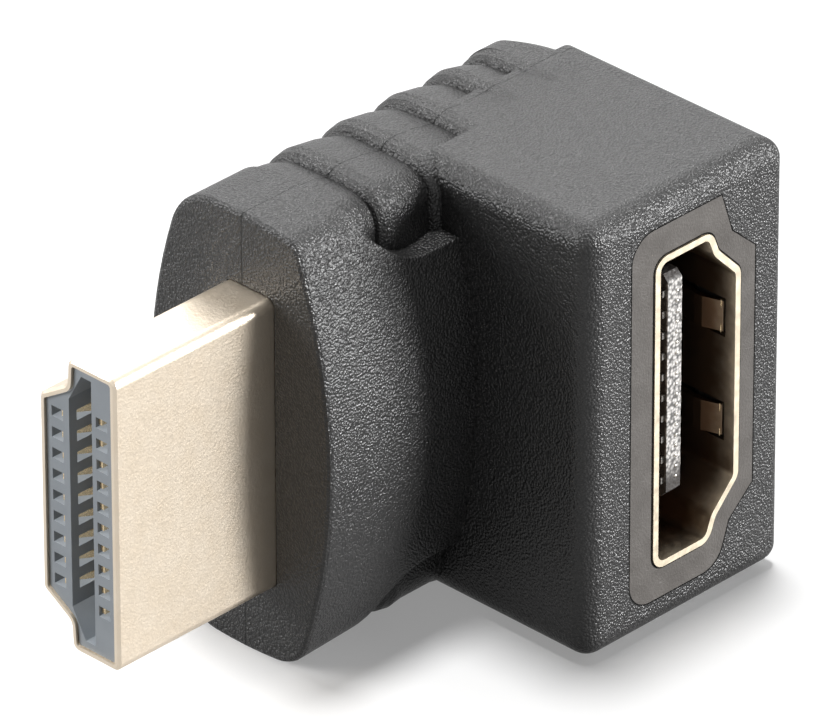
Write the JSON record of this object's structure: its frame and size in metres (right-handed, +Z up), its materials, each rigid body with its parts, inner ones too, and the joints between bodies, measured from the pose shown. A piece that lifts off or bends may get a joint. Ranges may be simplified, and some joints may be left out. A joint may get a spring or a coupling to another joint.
{
  "type": "right angle video adapter",
  "caption": "Right-angle adapter with a flat gold plug on a ribbed black boot and a matching socket in the side of a block.",
  "frame": {"origin": "middle of the bounding box's base, which is the plane that the boot rests on", "axes": "+X out of the socket's mouth, -Y out along the plug, +Z up; the plug's and the socket's wide direction is Z"},
  "size_m": [0.017, 0.0294, 0.0209],
  "materials": {
    "jacket_black": "fine pebbled grain",
    "inner_black": "plain moulded",
    "collar_grey": "smooth satin",
    "shell_gold": "satin gold plating",
    "insulator_slate": "smooth satin",
    "insulator_black": "smooth satin",
    "board_green": "lacquered laminate",
    "contact_gold": "bright gold plating",
    "contact_silver": "bright tin plating"
  },
  "bodies": {
    "root": {"overmould_jacket": "jacket_black", "inner_mould": "inner_black", "socket_collar": "collar_grey", "plug_shell": "shell_gold", "plug_insulator": "insulator_slate", "circuit_board": "board_green", "socket_shell": "shell_gold", "socket_insulator": "insulator_black", "plug_contact_wide_01": "contact_gold", "plug_contact_wide_02": "contact_gold", "plug_contact_wide_03": "contact_gold", "plug_contact_wide_04": "contact_gold", "plug_contact_wide_05": "contact_gold", "plug_contact_wide_06": "contact_gold", "plug_contact_wide_07": "contact_gold", "plug_contact_wide_08": "contact_gold", "plug_contact_wide_09": "contact_gold", "plug_contact_wide_10": "contact_gold", "plug_contact_narrow_01": "contact_gold", "plug_contact_narrow_02": "contact_gold", "plug_contact_narrow_03": "contact_gold", "plug_contact_narrow_04": "contact_gold", "plug_contact_narrow_05": "contact_gold", "plug_contact_narrow_06": "contact_gold", "plug_contact_narrow_07": "contact_gold", "plug_contact_narrow_08": "contact_gold", "plug_contact_narrow_09": "contact_gold", "socket_contact_wide_01": "contact_silver", "socket_contact_wide_02": "contact_silver", "socket_contact_wide_03": "contact_silver", "socket_contact_wide_04": "contact_silver", "socket_contact_wide_05": "contact_silver", "socket_contact_wide_06": "contact_silver", "socket_contact_wide_07": "contact_silver", "socket_contact_wide_08": "contact_silver", "socket_contact_wide_09": "contact_silver", "socket_contact_wide_10": "contact_silver", "socket_contact_narrow_01": "contact_silver", "socket_contact_narrow_02": "contact_silver", "socket_contact_narrow_03": "contact_silver", "socket_contact_narrow_04": "contact_silver", "socket_contact_narrow_05": "contact_silver", "socket_contact_narrow_06": "contact_silver", "socket_contact_narrow_07": "contact_silver", "socket_contact_narrow_08": "contact_silver", "socket_contact_narrow_09": "contact_silver"}
  },
  "joints": []
}
